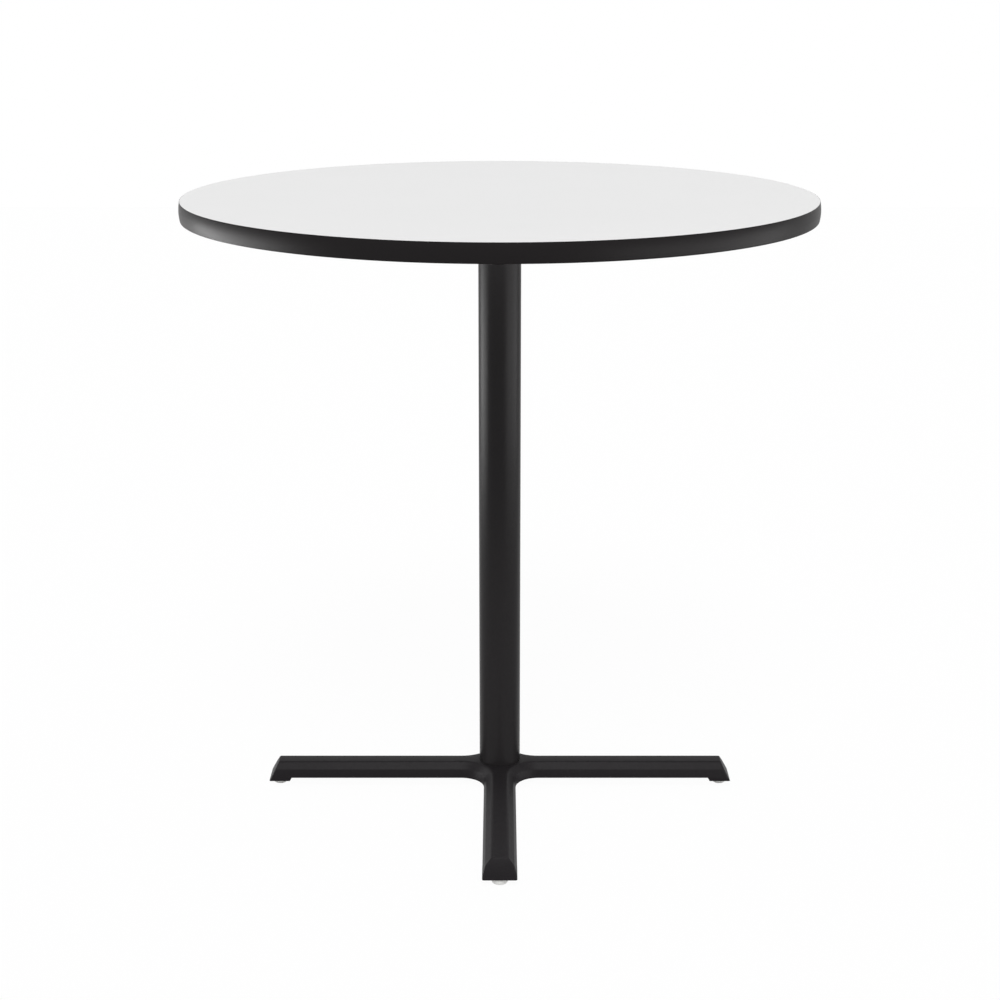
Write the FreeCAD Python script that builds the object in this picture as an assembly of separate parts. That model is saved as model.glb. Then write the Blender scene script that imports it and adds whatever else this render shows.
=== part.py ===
"""Bar-height pedestal table: a round laminate top on a steel column and a cast cross base.

The origin is on the floor under the column's centre, +Z is up, and the four base arms
lie along +X, +Y, -X and -Y. All sizes are in millimetres.
"""
import FreeCAD, Part
import math
import os

# Whole table
TABLE_HEIGHT = 1066.8
TOP_DIAMETER = 1066.8

# Round top: laminate on a particleboard core with a backer sheet and a T-shaped edge moulding
LAMINATE_THICKNESS = 1.2
CORE_THICKNESS = 29.2
BACKER_THICKNESS = 0.8
MOULDING_CROWN = 2.1
MOULDING_LIP = 0.45
MOULDING_LIP_DROP = 0.15
CROWN_BANDS = 8
TONGUE_LENGTH = 11.0
TONGUE_HALF_THICKNESS = 0.85
BARB_HEIGHT = 0.3
BARB_PITCH = 3.0
BARB_COUNT = 3
SLOT_DEPTH = 12.0
SLOT_HALF_THICKNESS = 1.2
SEAM_GAP = 0.4

# Column tube
COLUMN_RADIUS = 36.5
COLUMN_WALL = 3.0
COLUMN_TOP = 955.6
COLUMN_EDGE_ROUND = 0.8
SPIGOT_CLEARANCE = 0.05

# Cast cross base
BASE_TOP = 45.5
SHOULDER_HEIGHT = 33.8
ARM_UNDERSIDE = 19.3
FOOT_UNDERSIDE = 13.0
RIDGE_HALF_WIDTH = 13.6
SHOULDER_HALF_WIDTH = 23.8
ARM_EDGE_HALF_WIDTH = 28.6
FOOT_HALF_WIDTH = 28.8
RIDGE_ROUND = 7.0
SHOULDER_ROUND = 4.0
CORNER_CENTRE = 70.0
HUB_CORE_HALF_WIDTH = 4.0
NOSE_REACH = 417.8
NOSE_LEAN_DEG = 27.5
NOSE_ROUND = 3.0
FOOT_INNER_END = 380.4
FOOT_SLOPE_END = 377.0
FOOT_SLOPE_ROUND = 2.0
CAST_WALL = 8.5
CAVITY_END = 364.0
CAVITY_SHOULDER_ROUND = 2.0
BASE_BOSS_RADIUS = 24.0
BASE_BOSS_BOTTOM = 34.0
BASE_SPIGOT_HEIGHT = 8.0
BASE_SPIGOT_INNER_RADIUS = 26.0

# Cast top spider under the table top
SPIDER_REACH = 241.0
SPIDER_ARM_HALF_WIDTH = 19.0
SPIDER_PLATE_THICKNESS = 6.0
SPIDER_PLATE_RADIUS = 48.0
SPIDER_FLANGE_RADIUS = 35.0
SPIDER_FLANGE_THICKNESS = 6.0
SPIDER_NECK_RADIUS = 30.0
SPIDER_FLARE_RADIUS = 44.0
SPIDER_FLARE_START = 32.0
SPIDER_SPIGOT_LENGTH = 12.0
SPIDER_CORE_RADIUS = 24.0
SPIDER_WEB_THICKNESS = 12.0
SPIDER_POCKET_RADIUS = 21.0
SPIDER_POCKET_DEPTH = 20.0
SPIDER_NECK_STEP = 4.0
RIB_HALF_THICKNESS = 4.0
RIB_INNER_RADIUS = 26.0
RIB_OUTER_RADIUS = 202.0
RIB_ROOT_RISE = 12.0

# Tie rod and its nuts and washers, half-inch coarse thread
ROD_RADIUS = 6.35
ROD_BOTTOM = 16.0
ROD_TOP = 1033.0
ROD_CHAMFER = 1.2
ROD_HOLE_RADIUS = 6.75
NUT_ACROSS_FLATS = 19.05
NUT_HEIGHT = 11.1
NUT_BORE_RADIUS = 6.4
NUT_CHAMFER_DROP = 1.5
WASHER_RADIUS = 19.0
WASHER_THICKNESS = 3.0

# Wood screws that hold the spider to the top: one pair on each spider arm
SCREW_END_RADIUS = 222.0
SCREW_SIDE_RADIUS = 150.0
SCREW_SIDE_OFFSET = 11.5
SCREW_SHANK_RADIUS = 2.75
SCREW_LENGTH = 25.4
SCREW_POINT_LENGTH = 5.0
SCREW_HEAD_RADIUS = 5.3
SCREW_HEAD_HEIGHT = 3.6
SCREW_HEAD_ROUND = 1.6
SCREW_RECESS_LENGTH = 5.6
SCREW_RECESS_WIDTH = 1.3
SCREW_RECESS_DEPTH = 1.8
SCREW_CLEARANCE = 0.05
SPIDER_SCREW_HOLE_RADIUS = 3.25

# Levelling glides, one under each foot: a nylon foot that turns on a threaded stud
GLIDE_REACH = 400.0
GLIDE_RADIUS = 14.6
GLIDE_REST_RADIUS = 6.5
GLIDE_CORNER_HEIGHT = 9.5
GLIDE_GAP = 0.3
GLIDE_TOP_ROUND = 0.8
STUD_RADIUS = 3.97
STUD_TOP = 27.0
STUD_BOTTOM = 4.5
STUD_CHAMFER = 0.7
STUD_FLANGE_RADIUS = 6.0
STUD_FLANGE_THICKNESS = 2.5
STUD_CLEARANCE = 0.05
STUD_HOLE_TOP = 28.0

# Heights and radii that follow from the sizes above
PANEL_RADIUS = TOP_DIAMETER / 2 - MOULDING_CROWN
PANEL_THICKNESS = LAMINATE_THICKNESS + CORE_THICKNESS + BACKER_THICKNESS
PANEL_UNDERSIDE = TABLE_HEIGHT - PANEL_THICKNESS
CORE_BOTTOM = PANEL_UNDERSIDE + BACKER_THICKNESS
CORE_TOP = TABLE_HEIGHT - LAMINATE_THICKNESS
PANEL_MIDDLE = PANEL_UNDERSIDE + PANEL_THICKNESS / 2
COLUMN_BORE_RADIUS = COLUMN_RADIUS - COLUMN_WALL
SPIGOT_RADIUS = COLUMN_BORE_RADIUS - SPIGOT_CLEARANCE
SPIDER_PLATE_BOTTOM = PANEL_UNDERSIDE - SPIDER_PLATE_THICKNESS
UPPER_NUT_SEAT = PANEL_UNDERSIDE - SPIDER_POCKET_DEPTH
SIDES = {"right": 0, "rear": 90, "left": 180, "front": 270}
CUT_MARGIN = 2.0

UP = FreeCAD.Vector(0, 0, 1)
ORIGIN = FreeCAD.Vector(0, 0, 0)


def point(x, y, z):
    return FreeCAD.Vector(x, y, z)


def turned(shape, degrees):
    """A copy of a shape, turned about the table's upright axis."""
    copy = shape.copy()
    copy.rotate(ORIGIN, UP, degrees)
    return copy


def cylinder(radius, bottom, top, x=0, y=0):
    return Part.makeCylinder(radius, top - bottom, point(x, y, bottom), UP)


def rounded_outline(corners, radii):
    """A closed wire of straight runs, with each corner rounded by its own radius (0 is sharp)."""
    rounded = []
    for index, (corner, radius) in enumerate(zip(corners, radii)):
        to_last = (corners[index - 1] - corner).normalize()
        to_next = (corners[(index + 1) % len(corners)] - corner).normalize()
        half_angle = to_last.getAngle(to_next) / 2
        setback = radius / math.tan(half_angle)
        inward = (to_last + to_next).normalize() * (radius / math.sin(half_angle) - radius)
        rounded.append((corner + to_last * setback, corner + inward, corner + to_next * setback))
    edges = []
    for index, (start, middle, end) in enumerate(rounded):
        if radii[index] > 0:
            edges.append(Part.Arc(start, middle, end).toShape())
        next_start = rounded[(index + 1) % len(rounded)][0]
        edges.append(Part.LineSegment(end, next_start).toShape())
    return Part.Wire(edges)


def outline_face(corners, radii=None):
    if radii is None:
        radii = [0] * len(corners)
    return Part.Face(rounded_outline(corners, radii))


def turned_solid(profile, radii=None):
    """A solid of revolution about the table's axis, from (radius, height) corners."""
    face = outline_face([point(r, 0, z) for r, z in profile], radii)
    return face.revolve(ORIGIN, UP, 360)


def side_slab(outline, half_width, radii=None):
    """A slab across an arm that lies along +X, from (distance, height) corners."""
    face = outline_face([point(x, -half_width, z) for x, z in outline], radii)
    return face.extrude(point(0, 2 * half_width, 0))


def join(shapes):
    return shapes[0].multiFuse(shapes[1:]).removeSplitter()


# The round top


def top_laminate():
    return cylinder(PANEL_RADIUS, CORE_TOP, TABLE_HEIGHT)


def screw_places():
    """Centres of the wood screws: one near the end of each spider arm and one beside its rib."""
    places = []
    for angle in SIDES.values():
        for along, across in ((SCREW_END_RADIUS, 0), (SCREW_SIDE_RADIUS, SCREW_SIDE_OFFSET)):
            place = point(along, across, 0)
            turn = FreeCAD.Rotation(UP, angle)
            places.append(turn.multVec(place))
    return places


def screw_holes(radius, bottom, top):
    return [cylinder(radius, bottom, top, place.x, place.y) for place in screw_places()]


def top_core():
    disc = cylinder(PANEL_RADIUS, CORE_BOTTOM, CORE_TOP)
    slot_outer = cylinder(PANEL_RADIUS + CUT_MARGIN,
                          PANEL_MIDDLE - SLOT_HALF_THICKNESS, PANEL_MIDDLE + SLOT_HALF_THICKNESS)
    slot_inner = cylinder(PANEL_RADIUS - SLOT_DEPTH,
                          PANEL_MIDDLE - SLOT_HALF_THICKNESS, PANEL_MIDDLE + SLOT_HALF_THICKNESS)
    slot = slot_outer.cut(slot_inner)
    screw_tip = SPIDER_PLATE_BOTTOM + SCREW_LENGTH
    holes = screw_holes(SCREW_SHANK_RADIUS + SCREW_CLEARANCE, CORE_BOTTOM, screw_tip + SCREW_CLEARANCE)
    return disc.cut([slot] + holes)


def backer_sheet():
    disc = cylinder(PANEL_RADIUS, PANEL_UNDERSIDE, CORE_BOTTOM)
    return disc.cut(screw_holes(SCREW_SHANK_RADIUS + SCREW_CLEARANCE, PANEL_UNDERSIDE, CORE_BOTTOM))


def crown_arcs(half_height):
    """The moulding's convex front from its lower to its upper lip, as short arcs of one circle."""
    rise = MOULDING_CROWN - MOULDING_LIP
    arc_radius = (half_height ** 2 + rise ** 2) / (2 * rise)
    centre = PANEL_RADIUS + MOULDING_CROWN - arc_radius
    half_angle = math.asin(half_height / arc_radius)
    places = []
    for step in range(2 * CROWN_BANDS + 1):
        angle = half_angle * (step / CROWN_BANDS - 1)
        places.append(point(centre + arc_radius * math.cos(angle), 0,
                            PANEL_MIDDLE + arc_radius * math.sin(angle)))
    arcs = []
    for first in range(0, 2 * CROWN_BANDS, 2):
        arcs.append(Part.Arc(*places[first:first + 3]).toShape())
    return arcs


def edge_moulding():
    """A strip bent round the panel's rim: a shallow convex face with a barbed tongue behind it."""
    top = TABLE_HEIGHT - MOULDING_LIP_DROP
    bottom = PANEL_UNDERSIDE + MOULDING_LIP_DROP
    lip_radius = PANEL_RADIUS + MOULDING_LIP
    front = crown_arcs((top - bottom) / 2)
    upper_side = []
    for index in range(BARB_COUNT):
        barb = PANEL_RADIUS - TONGUE_LENGTH + (index + 1) * BARB_PITCH
        upper_side.append((barb, TONGUE_HALF_THICKNESS + BARB_HEIGHT))
        upper_side.append((barb, TONGUE_HALF_THICKNESS))
    tip = [(PANEL_RADIUS - TONGUE_LENGTH, TONGUE_HALF_THICKNESS / 2)]
    root = [(PANEL_RADIUS, TONGUE_HALF_THICKNESS)]
    upper_half = tip + upper_side + root
    back = [point(lip_radius, 0, top), point(PANEL_RADIUS, 0, top)]
    back += [point(r, 0, PANEL_MIDDLE + h) for r, h in reversed(upper_half)]
    back += [point(r, 0, PANEL_MIDDLE - h) for r, h in upper_half]
    back += [point(PANEL_RADIUS, 0, bottom), point(lip_radius, 0, bottom)]
    section = Part.Face(Part.Wire(front + Part.makePolygon(back).Edges))
    ring = section.revolve(ORIGIN, UP, 360)
    seam = Part.makeBox(SEAM_GAP, PANEL_RADIUS, PANEL_THICKNESS,
                        point(-SEAM_GAP / 2, PANEL_RADIUS / 2, PANEL_UNDERSIDE))
    return ring.cut(seam)


# The top spider and its screws


def spider_hub():
    """Hub that stands on the column's rim, with a spigot inside the tube and a pocket for the nut."""
    core_top = UPPER_NUT_SEAT - SPIDER_WEB_THICKNESS
    flange_top = COLUMN_TOP + SPIDER_FLANGE_THICKNESS
    profile = [
        (SPIDER_CORE_RADIUS, COLUMN_TOP - SPIDER_SPIGOT_LENGTH),
        (SPIGOT_RADIUS, COLUMN_TOP - SPIDER_SPIGOT_LENGTH),
        (SPIGOT_RADIUS, COLUMN_TOP),
        (SPIDER_FLANGE_RADIUS, COLUMN_TOP),
        (SPIDER_FLANGE_RADIUS, flange_top),
        (SPIDER_NECK_RADIUS, flange_top + SPIDER_NECK_STEP),
        (SPIDER_NECK_RADIUS, PANEL_UNDERSIDE - SPIDER_FLARE_START),
        (SPIDER_FLARE_RADIUS, SPIDER_PLATE_BOTTOM),
        (SPIDER_PLATE_RADIUS, SPIDER_PLATE_BOTTOM),
        (SPIDER_PLATE_RADIUS, PANEL_UNDERSIDE),
        (SPIDER_POCKET_RADIUS, PANEL_UNDERSIDE),
        (SPIDER_POCKET_RADIUS, UPPER_NUT_SEAT),
        (ROD_HOLE_RADIUS, UPPER_NUT_SEAT),
        (ROD_HOLE_RADIUS, core_top),
        (SPIDER_CORE_RADIUS, core_top),
    ]
    return turned_solid(profile)


def spider_arm():
    """One arm along +X: a flat strap with a round end, and a rib that tapers out from the hub."""
    end_centre = SPIDER_REACH - SPIDER_ARM_HALF_WIDTH
    strap = Part.makeBox(end_centre - RIB_INNER_RADIUS, 2 * SPIDER_ARM_HALF_WIDTH, SPIDER_PLATE_THICKNESS,
                         point(RIB_INNER_RADIUS, -SPIDER_ARM_HALF_WIDTH, SPIDER_PLATE_BOTTOM))
    tip = cylinder(SPIDER_ARM_HALF_WIDTH, SPIDER_PLATE_BOTTOM, PANEL_UNDERSIDE, end_centre)
    rib_top = SPIDER_PLATE_BOTTOM + SPIDER_PLATE_THICKNESS / 2
    rib_outline = [
        (RIB_INNER_RADIUS, COLUMN_TOP + RIB_ROOT_RISE),
        (RIB_OUTER_RADIUS, SPIDER_PLATE_BOTTOM),
        (RIB_OUTER_RADIUS, rib_top),
        (RIB_INNER_RADIUS, rib_top),
    ]
    return [strap, tip, side_slab(rib_outline, RIB_HALF_THICKNESS)]


def top_spider():
    solids = [spider_hub()]
    for angle in SIDES.values():
        solids += [turned(piece, angle) for piece in spider_arm()]
    spider = join(solids)
    return spider.cut(screw_holes(SPIDER_SCREW_HOLE_RADIUS, SPIDER_PLATE_BOTTOM, PANEL_UNDERSIDE))


def wood_screw():
    """A pan-head wood screw with its head's seat at height 0, pointing up, with a cross recess."""
    profile = [
        (0, -SCREW_HEAD_HEIGHT),
        (SCREW_HEAD_RADIUS, -SCREW_HEAD_HEIGHT),
        (SCREW_HEAD_RADIUS, 0),
        (SCREW_SHANK_RADIUS, 0),
        (SCREW_SHANK_RADIUS, SCREW_LENGTH - SCREW_POINT_LENGTH),
        (0, SCREW_LENGTH),
    ]
    screw = turned_solid(profile, [0, SCREW_HEAD_ROUND, 0, 0, 0, 0])
    half_length = SCREW_RECESS_LENGTH / 2
    bar = Part.makeBox(SCREW_RECESS_LENGTH, SCREW_RECESS_WIDTH, SCREW_RECESS_DEPTH,
                       point(-half_length, -SCREW_RECESS_WIDTH / 2, -SCREW_HEAD_HEIGHT))
    return screw.cut([bar, turned(bar, 90)])


def spider_screws():
    screws = []
    for place in screw_places():
        screw = wood_screw()
        screw.translate(point(place.x, place.y, SPIDER_PLATE_BOTTOM))
        screws.append(screw)
    return Part.makeCompound(screws)


# The column and the tie rod


def column_tube():
    profile = [
        (COLUMN_BORE_RADIUS, BASE_TOP),
        (COLUMN_RADIUS, BASE_TOP),
        (COLUMN_RADIUS, COLUMN_TOP),
        (COLUMN_BORE_RADIUS, COLUMN_TOP),
    ]
    return turned_solid(profile, [0, 0, COLUMN_EDGE_ROUND, 0])


def tie_rod():
    profile = [
        (0, ROD_BOTTOM),
        (ROD_RADIUS - ROD_CHAMFER, ROD_BOTTOM),
        (ROD_RADIUS, ROD_BOTTOM + ROD_CHAMFER),
        (ROD_RADIUS, ROD_TOP - ROD_CHAMFER),
        (ROD_RADIUS - ROD_CHAMFER, ROD_TOP),
        (0, ROD_TOP),
    ]
    return turned_solid(profile)


def hex_nut(bottom):
    """A hexagon nut with its corners chamfered by a cone at both ends."""
    corner_radius = NUT_ACROSS_FLATS / math.sqrt(3)
    corners = []
    for index in range(6):
        angle = math.radians(60 * index)
        corners.append(point(corner_radius * math.cos(angle), corner_radius * math.sin(angle), bottom))
    prism = outline_face(corners).extrude(UP * NUT_HEIGHT)
    top = bottom + NUT_HEIGHT
    face_radius = NUT_ACROSS_FLATS / 2
    chamfered = turned_solid([
        (0, bottom),
        (face_radius, bottom),
        (corner_radius, bottom + NUT_CHAMFER_DROP),
        (corner_radius, top - NUT_CHAMFER_DROP),
        (face_radius, top),
        (0, top),
    ])
    return prism.common(chamfered).cut(cylinder(NUT_BORE_RADIUS, bottom, top))


def plain_washer(bottom):
    top = bottom + WASHER_THICKNESS
    return cylinder(WASHER_RADIUS, bottom, top).cut(cylinder(ROD_HOLE_RADIUS, bottom, top))


# The cast base


def arm_profile():
    """Half of an arm's cross-section as (half-width, height), from the foot's underside to the top."""
    return [
        (FOOT_HALF_WIDTH, FOOT_UNDERSIDE),
        (ARM_EDGE_HALF_WIDTH, ARM_UNDERSIDE),
        (SHOULDER_HALF_WIDTH, SHOULDER_HEIGHT),
        (RIDGE_HALF_WIDTH, BASE_TOP),
    ]


def hub_profile():
    """The same cross-section from the arms' lower edge up, without the foot."""
    return arm_profile()[1:]


def cavity_profile():
    """The hub's profile moved inwards by the casting's wall, carried down to the foot's underside."""
    outer = hub_profile()
    side_angle = math.atan2(outer[1][1] - outer[0][1], outer[0][0] - outer[1][0])
    slope_angle = math.atan2(outer[2][1] - outer[1][1], outer[1][0] - outer[2][0])
    side_turn = math.tan((side_angle - slope_angle) / 2)
    slope_turn = math.tan(slope_angle / 2)
    drop = ARM_UNDERSIDE - FOOT_UNDERSIDE
    bottom = (outer[0][0] - CAST_WALL / math.sin(side_angle) + drop / math.tan(side_angle), FOOT_UNDERSIDE)
    shoulder = (outer[1][0] - CAST_WALL * (math.sin(side_angle) + side_turn * math.cos(side_angle)),
                outer[1][1] - CAST_WALL * (math.cos(side_angle) - side_turn * math.sin(side_angle)))
    ridge = (outer[2][0] - CAST_WALL * slope_turn, BASE_TOP - CAST_WALL)
    return [bottom, shoulder, ridge]


def hub_corner(profile, radii, quarter):
    """Material that fills the inside corner between two arms, swept round the corner's own axis."""
    inner_side = CORNER_CENTRE - HUB_CORE_HALF_WIDTH
    section = [(CORNER_CENTRE - half_width, height) for half_width, height in profile]
    section += [(inner_side, profile[-1][1]), (inner_side, profile[0][1])]
    corners = [point(CORNER_CENTRE, CORNER_CENTRE - r, z) for r, z in section]
    face = outline_face(corners, list(radii) + [0, 0])
    solid = face.revolve(point(CORNER_CENTRE, CORNER_CENTRE, 0), UP, -90)
    return turned(solid, 90 * quarter)


def hub_core(bottom, top):
    """Middle of the hub, bounded by the four corner sweeps and the arms' starting faces."""
    strip = HUB_CORE_HALF_WIDTH
    arc_middle = CORNER_CENTRE - (CORNER_CENTRE - strip) / math.sqrt(2)
    side = Part.LineSegment(point(CORNER_CENTRE, -strip, bottom), point(CORNER_CENTRE, strip, bottom))
    arc = Part.Arc(point(CORNER_CENTRE, strip, bottom), point(arc_middle, arc_middle, bottom),
                   point(strip, CORNER_CENTRE, bottom))
    edges = []
    for quarter in range(4):
        edges += [turned(side.toShape(), 90 * quarter), turned(arc.toShape(), 90 * quarter)]
    return Part.Face(Part.Wire(edges)).extrude(UP * (top - bottom))


def cross_hub(profile, radii):
    corners = [hub_corner(profile, radii, quarter) for quarter in range(4)]
    return [hub_core(profile[0][1], profile[-1][1])] + corners


def arm_prism(profile, radii, end):
    """An arm along +X from the hub to a given reach, with the full cross-section."""
    left = [point(CORNER_CENTRE, -half_width, height) for half_width, height in profile]
    right = [point(CORNER_CENTRE, half_width, height) for half_width, height in reversed(profile)]
    face = outline_face(left + right, list(radii) + list(reversed(radii)))
    return face.extrude(point(end - CORNER_CENTRE, 0, 0))


def base_arm():
    """One arm along +X with its leaning nose and its foot, which stands lower than the arm."""
    lean = math.tan(math.radians(NOSE_LEAN_DEG))
    low = FOOT_UNDERSIDE - CUT_MARGIN
    high = BASE_TOP + CUT_MARGIN
    far = NOSE_REACH + 2 * CUT_MARGIN
    cut_width = FOOT_HALF_WIDTH + CUT_MARGIN
    arm = arm_prism(arm_profile(), (0, 0, SHOULDER_ROUND, RIDGE_ROUND), far)
    nose_cut = side_slab([
        (NOSE_REACH + CUT_MARGIN * lean, low),
        (far + CUT_MARGIN, low),
        (far + CUT_MARGIN, high),
        (NOSE_REACH - (high - FOOT_UNDERSIDE) * lean, high),
    ], cut_width)
    slope = (FOOT_INNER_END - FOOT_SLOPE_END) / (ARM_UNDERSIDE - FOOT_UNDERSIDE)
    relief = side_slab([
        (CORNER_CENTRE - CUT_MARGIN, low),
        (FOOT_INNER_END + CUT_MARGIN * slope, low),
        (FOOT_SLOPE_END, ARM_UNDERSIDE),
        (CORNER_CENTRE - CUT_MARGIN, ARM_UNDERSIDE),
    ], cut_width, [0, 0, FOOT_SLOPE_ROUND, 0])
    return soften_nose(arm.cut([nose_cut, relief]))


def soften_nose(arm):
    """Rounds the edges around the leaning nose face, apart from its sharp lower edge."""
    lean = math.radians(NOSE_LEAN_DEG)
    outward = point(math.cos(lean), 0, math.sin(lean))
    for face in arm.Faces:
        if face.normalAt(0, 0).isEqual(outward, 1e-6):
            upper_edges = [edge for edge in face.Edges if edge.BoundBox.ZMax > FOOT_UNDERSIDE + CUT_MARGIN]
            return arm.makeFillet(NOSE_ROUND, upper_edges)
    raise RuntimeError("the arm has no nose face")


def base_casting():
    """Hollow cross with solid feet, a boss for the tie rod and a spigot for the column."""
    arm = base_arm()
    outside = cross_hub(hub_profile(), (0, SHOULDER_ROUND, RIDGE_ROUND))
    outside += [turned(arm, angle) for angle in SIDES.values()]
    inner_arm = arm_prism(cavity_profile(), (0, CAVITY_SHOULDER_ROUND, CAVITY_SHOULDER_ROUND), CAVITY_END)
    inside = cross_hub(cavity_profile(), (0, CAVITY_SHOULDER_ROUND, CAVITY_SHOULDER_ROUND))
    inside += [turned(inner_arm, angle) for angle in SIDES.values()]
    shell = join(outside).cut(join(inside))
    boss = cylinder(BASE_BOSS_RADIUS, BASE_BOSS_BOTTOM, BASE_TOP - CAST_WALL / 2)
    spigot_top = BASE_TOP + BASE_SPIGOT_HEIGHT
    spigot = cylinder(SPIGOT_RADIUS, BASE_TOP, spigot_top)
    spigot = spigot.cut(cylinder(BASE_SPIGOT_INNER_RADIUS, BASE_TOP, spigot_top))
    holes = [cylinder(ROD_HOLE_RADIUS, BASE_BOSS_BOTTOM, BASE_TOP)]
    for angle in SIDES.values():
        stud_hole = cylinder(STUD_RADIUS + STUD_CLEARANCE, FOOT_UNDERSIDE, STUD_HOLE_TOP, GLIDE_REACH)
        holes.append(turned(stud_hole, angle))
    return join([shell, boss, spigot]).cut(holes)


# The levelling glides


def placed_glide(shape, angle):
    """A glide piece moved from the table's axis to its place under the foot at an angle."""
    shape.translate(point(GLIDE_REACH, 0, 0))
    return turned(shape, angle)


def glide_stud(angle):
    """Threaded stud, drawn at its full thread diameter, with a flange held inside the nylon foot."""
    flange_top = STUD_BOTTOM + STUD_FLANGE_THICKNESS
    profile = [
        (0, STUD_BOTTOM),
        (STUD_FLANGE_RADIUS, STUD_BOTTOM),
        (STUD_FLANGE_RADIUS, flange_top),
        (STUD_RADIUS, flange_top),
        (STUD_RADIUS, STUD_TOP - STUD_CHAMFER),
        (STUD_RADIUS - STUD_CHAMFER, STUD_TOP),
        (0, STUD_TOP),
    ]
    return placed_glide(turned_solid(profile), angle)


def glide_foot(angle):
    """Blunt nylon dome with a flat resting face, moulded round the stud's flange."""
    top = FOOT_UNDERSIDE - GLIDE_GAP
    centre = point(GLIDE_REST_RADIUS, 0, GLIDE_CORNER_HEIGHT)
    lowest = point(GLIDE_REST_RADIUS, 0, 0)
    widest = point(GLIDE_RADIUS, 0, GLIDE_CORNER_HEIGHT)
    ellipse = Part.Ellipse(lowest, widest, centre)
    corner = Part.ArcOfEllipse(ellipse, 0, math.pi / 2).toShape()
    round_start = point(GLIDE_RADIUS, 0, top - GLIDE_TOP_ROUND)
    round_middle = point(GLIDE_RADIUS - GLIDE_TOP_ROUND * (1 - math.sqrt(0.5)), 0,
                         top - GLIDE_TOP_ROUND * (1 - math.sqrt(0.5)))
    round_end = point(GLIDE_RADIUS - GLIDE_TOP_ROUND, 0, top)
    edges = [
        corner,
        Part.LineSegment(widest, round_start).toShape(),
        Part.Arc(round_start, round_middle, round_end).toShape(),
    ]
    edges += Part.makePolygon([round_end, point(0, 0, top), ORIGIN, lowest]).Edges
    dome = Part.Face(Part.Wire(edges)).revolve(ORIGIN, UP, 360)
    flange_top = STUD_BOTTOM + STUD_FLANGE_THICKNESS
    neck = cylinder(STUD_RADIUS + STUD_CLEARANCE, STUD_BOTTOM, top)
    flange_room = cylinder(STUD_FLANGE_RADIUS + STUD_CLEARANCE,
                           STUD_BOTTOM - STUD_CLEARANCE, flange_top + STUD_CLEARANCE)
    return placed_glide(dome.cut([neck, flange_room]), angle)


def all_pieces():
    upper_washer_top = UPPER_NUT_SEAT + WASHER_THICKNESS
    lower_washer_bottom = BASE_BOSS_BOTTOM - WASHER_THICKNESS
    pieces = {
        "top_laminate": top_laminate(),
        "top_core": top_core(),
        "backer_sheet": backer_sheet(),
        "edge_moulding": edge_moulding(),
        "top_spider": top_spider(),
        "spider_screws": spider_screws(),
        "column_tube": column_tube(),
        "tie_rod": tie_rod(),
        "upper_washer": plain_washer(UPPER_NUT_SEAT),
        "upper_nut": hex_nut(upper_washer_top),
        "lower_washer": plain_washer(lower_washer_bottom),
        "lower_nut": hex_nut(lower_washer_bottom - NUT_HEIGHT),
        "base_casting": base_casting(),
    }
    for side, angle in SIDES.items():
        pieces["glide_stud_" + side] = glide_stud(angle)
        pieces["glide_foot_" + side] = glide_foot(angle)
    return pieces


os.makedirs("parts", exist_ok=True)
for name, shape in all_pieces().items():
    print(name, "valid" if shape.isValid() else "NOT VALID", "solids", len(shape.Solids),
          "volume", round(shape.Volume, 1))
    shape.exportStep("parts/" + name + ".step")
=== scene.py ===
"""Looks of a bar-height pedestal table: meshes, finishes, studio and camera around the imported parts."""

import math

import bmesh
import bpy
from bpy.props import FloatProperty, FloatVectorProperty, IntProperty, PointerProperty
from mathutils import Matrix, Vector


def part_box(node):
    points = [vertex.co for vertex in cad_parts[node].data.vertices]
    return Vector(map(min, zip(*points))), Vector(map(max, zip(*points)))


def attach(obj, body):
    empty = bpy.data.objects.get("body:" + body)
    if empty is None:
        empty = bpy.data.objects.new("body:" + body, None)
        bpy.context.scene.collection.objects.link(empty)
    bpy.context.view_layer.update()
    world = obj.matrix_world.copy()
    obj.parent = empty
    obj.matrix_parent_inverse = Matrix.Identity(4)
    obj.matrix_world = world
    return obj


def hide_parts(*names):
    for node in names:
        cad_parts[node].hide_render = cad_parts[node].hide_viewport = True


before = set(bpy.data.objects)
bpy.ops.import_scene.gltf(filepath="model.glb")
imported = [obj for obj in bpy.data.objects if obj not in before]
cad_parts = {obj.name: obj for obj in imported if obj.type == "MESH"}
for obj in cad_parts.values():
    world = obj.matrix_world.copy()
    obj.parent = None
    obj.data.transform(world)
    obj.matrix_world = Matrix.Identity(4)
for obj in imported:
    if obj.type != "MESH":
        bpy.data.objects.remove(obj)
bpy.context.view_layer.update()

bl_info = {
    "name": "Bar Table",
    "version": (1, 0, 0),
    "blender": (4, 5, 0),
    "location": "View3D > Sidebar > Bar Table",
    "description": "Builds the pieces, finishes and studio of a round pedestal bar table",
    "category": "Object",
}

SIDES = ("right", "rear", "left", "front")
TABLE_BODY = "table"
MM = 0.001

# Mesh fineness and tolerances
FULL_TURN = 2 * math.pi
RIM_SEGMENTS = 720
TUBE_SEGMENTS = 192
FOOT_SEGMENTS = 128
SMALL_SEGMENTS = 64
ROUND_STEPS = 5
LIP_STEPS = 3
EDGE_STEPS = 3
TINY = 1e-9
WELD_DISTANCE = 0.004 * MM
FLAT_ANGLE = math.radians(0.3)
SHARP_ANGLE = math.radians(32)

# A long gentle crease that goes straight on from a sharp edge starts a few points further along it
CREASE_ANGLE = math.radians(8)
CREASE_LENGTH = 10 * MM
STRAIGHT_ANGLE = math.radians(1)
CREASE_SHIFT = 3

# Threads: half-inch tie rod and five-sixteenths glide studs, from their turns per inch
INCH = 25.4 * MM
ROD_PITCH = INCH / 13
STUD_PITCH = INCH / 18
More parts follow.
